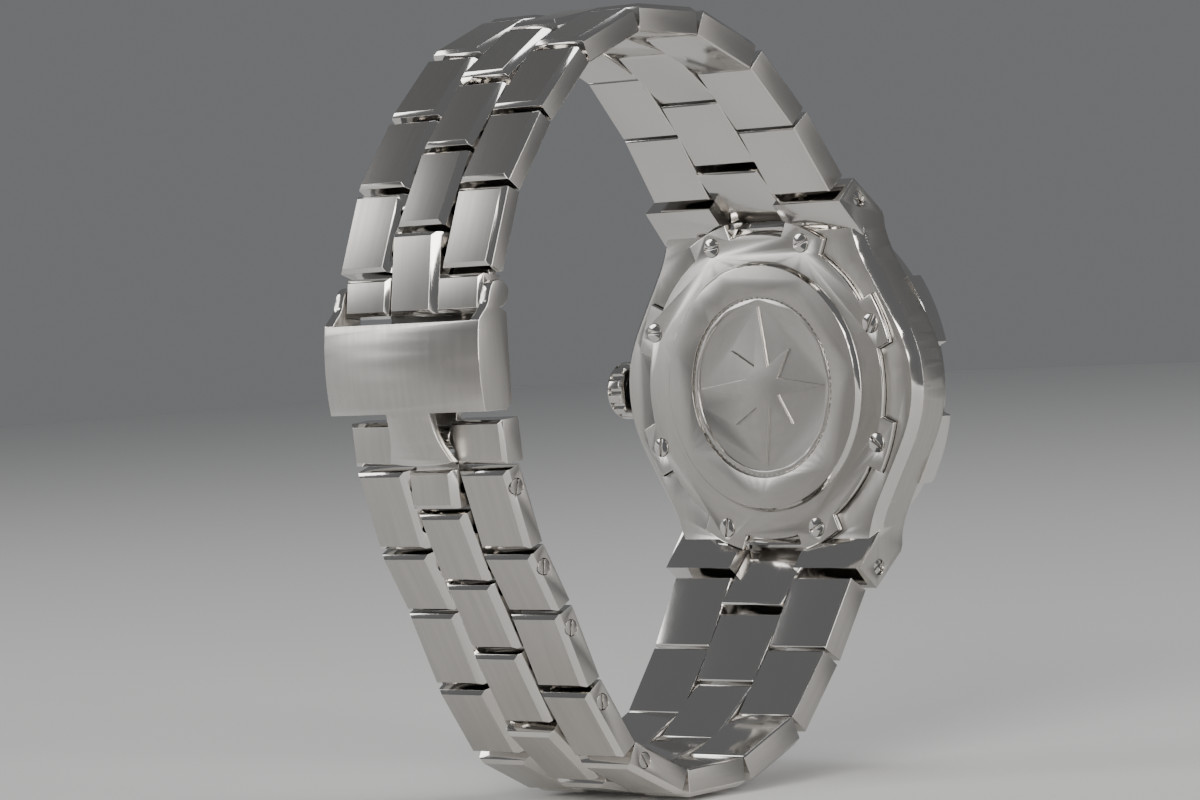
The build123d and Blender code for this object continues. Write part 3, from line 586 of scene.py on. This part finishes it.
finishClasp()
print("clasp finished")

case = {
    "edgeEase": 0.00009,
    "handEase": 0.00003,
    "crownDulling": 0.05,
    "rhodium": (0.78, 0.78, 0.77, 1),
}


def finishCase():
    paint(nodes["case_middle"], caseSteel("caseSteel"))
    paint(nodes["bezel"], turnedSteel("bezelSteel"))
    paint(nodes["case_back"], turnedSteel("caseBackSteel"))
    screws = polishedSteel("screwSteel")
    for name in ("case_back_screws", "lug_screws"):
        paint(nodes[name], screws)
    for name in ("case_middle", "bezel", "case_back", "case_back_screws", "lug_screws"):
        easeEdges(nodes[name], case["edgeEase"])
    paint(nodes["crown"], polishedSteel("crownSteel", extraRoughness=case["crownDulling"]))
    easeEdges(nodes["crown"], case["edgeEase"])
    rubber = grainedMaterial("gasketRubber", rubberFinish)
    for name in ("case_back_gasket", "crystal_gasket", "crown_gasket"):
        paint(nodes[name], rubber)
    paint(nodes["crystal"], crystalMaterial())
    paint(nodes["dial"], dialMaterial())
    paint(nodes["flange_ring"], turnedSteel("flangeSteel"))
    bright = polishedSteel("rhodium", case["rhodium"])
    for name in ("hour_markers", "hour_hand", "minute_hand", "second_hand"):
        paint(nodes[name], bright)
        easeEdges(nodes[name], case["handEase"])
    paint(nodes["movement"], turnedSteel("movementPlate"))
    paint(nodes["rotor"], turnedSteel("rotorSteel"))
    for name in ("winding_stem", "crown_tube"):
        paint(nodes[name], screws)


finishCase()
print("case finished")

def markRingTree():
    tree = bpy.data.node_groups.new("markRing", "GeometryNodeTree")
    sockets = (("Count", "NodeSocketInt"), ("Radius", floatSocket), ("Length", floatSocket),
               ("Width", floatSocket), ("Height", floatSocket), ("Level", floatSocket),
               ("Finish", "NodeSocketMaterial"))
    for label, kind in sockets:
        tree.interface.new_socket(label, in_out="INPUT", socket_type=kind)
    tree.interface.new_socket("Geometry", in_out="OUTPUT", socket_type="NodeSocketGeometry")
    given, out = addNode(tree, "NodeGroupInput"), addNode(tree, "NodeGroupOutput")
    circle = addNode(tree, "GeometryNodeMeshCircle")
    feed(tree, circle.inputs["Vertices"], given.outputs["Count"])
    feed(tree, circle.inputs["Radius"], given.outputs["Radius"])
    size = addNode(tree, "ShaderNodeCombineXYZ")
    for socket, label in zip(size.inputs, ("Length", "Width", "Height")):
        feed(tree, socket, given.outputs[label])
    mark = addNode(tree, "GeometryNodeMeshCube")
    feed(tree, mark.inputs["Size"], size.outputs[0])
    index = addNode(tree, "GeometryNodeInputIndex")
    step = maths(tree, "DIVIDE", math.tau, given.outputs["Count"])
    turn = addNode(tree, "ShaderNodeCombineXYZ")
    feed(tree, turn.inputs["Z"], maths(tree, "MULTIPLY", index.outputs[0], step))
    place = addNode(tree, "GeometryNodeInstanceOnPoints")
    feed(tree, place.inputs["Points"], circle.outputs["Mesh"])
    feed(tree, place.inputs["Instance"], mark.outputs["Mesh"])
    feed(tree, place.inputs["Rotation"], turn.outputs[0])
    level = addNode(tree, "ShaderNodeCombineXYZ")
    feed(tree, level.inputs["Y"], given.outputs["Level"])
    stand = addNode(tree, "GeometryNodeTransform")
    feed(tree, stand.inputs["Geometry"], place.outputs["Instances"])
    feed(tree, stand.inputs["Translation"], level.outputs[0])
    stand.inputs["Rotation"].default_value = (math.pi / 2, 0, 0)
    real = addNode(tree, "GeometryNodeRealizeInstances")
    feed(tree, real.inputs["Geometry"], stand.outputs["Geometry"])
    finish = addNode(tree, "GeometryNodeSetMaterial")
    feed(tree, finish.inputs["Geometry"], real.outputs["Geometry"])
    feed(tree, finish.inputs["Material"], given.outputs["Finish"])
    feed(tree, out.inputs["Geometry"], finish.outputs["Geometry"])
    return tree


# a ring of small raised marks about the case's axis, as one plain mesh
def ringOfMarks(tree, name, settings, material):
    maker = bpy.data.objects.new(name + "_maker", bpy.data.meshes.new(name + "_maker"))
    bpy.context.scene.collection.objects.link(maker)
    nodesModifier = maker.modifiers.new("markRing", "NODES")
    nodesModifier.node_group = tree
    keys = {item.name: item.identifier for item in tree.interface.items_tree if item.in_out == "INPUT"}
    for label, value in settings.items():
        nodesModifier[keys[label]] = value
    nodesModifier[keys["Finish"]] = material
    evaluated = maker.evaluated_get(bpy.context.evaluated_depsgraph_get())
    mesh = bpy.data.meshes.new_from_object(evaluated)
    bpy.data.objects.remove(maker)
    mesh.name = name
    piece = bpy.data.objects.new(name, mesh)
    bpy.context.scene.collection.objects.link(piece)
    ease = piece.modifiers.new("easedEdges", "BEVEL")
    ease.width = markEase["share"] * settings["Height"]
    ease.segments = markEase["segments"]
    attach(piece, "case")


markEase = {"share": 0.12, "segments": 1}
markRings = {  # metres, and how many in a ring
    "minute_track": {"Count": 60, "Radius": 0.01314, "Length": 0.00040, "Width": 0.00012,
                     "Height": 0.00008, "Level": -0.00471},
    "back_border": {"Count": 84, "Radius": 0.00890, "Length": 0.00046, "Width": 0.00034,
                    "Height": 0.00016, "Level": 0.00018},
}


def finishMarkRings():
    tree = markRingTree()
    finishes = {
        "minute_track": (grainedMaterial("lume", lumeFinish), "rhodium_plate"),
        "back_border": (polishedSteel("borderSteel"), "polished_steel"),
    }
    for name, settings in markRings.items():
        material, slot = finishes[name]
        ringOfMarks(tree, name, settings, material)


finishMarkRings()
print("mark rings finished")
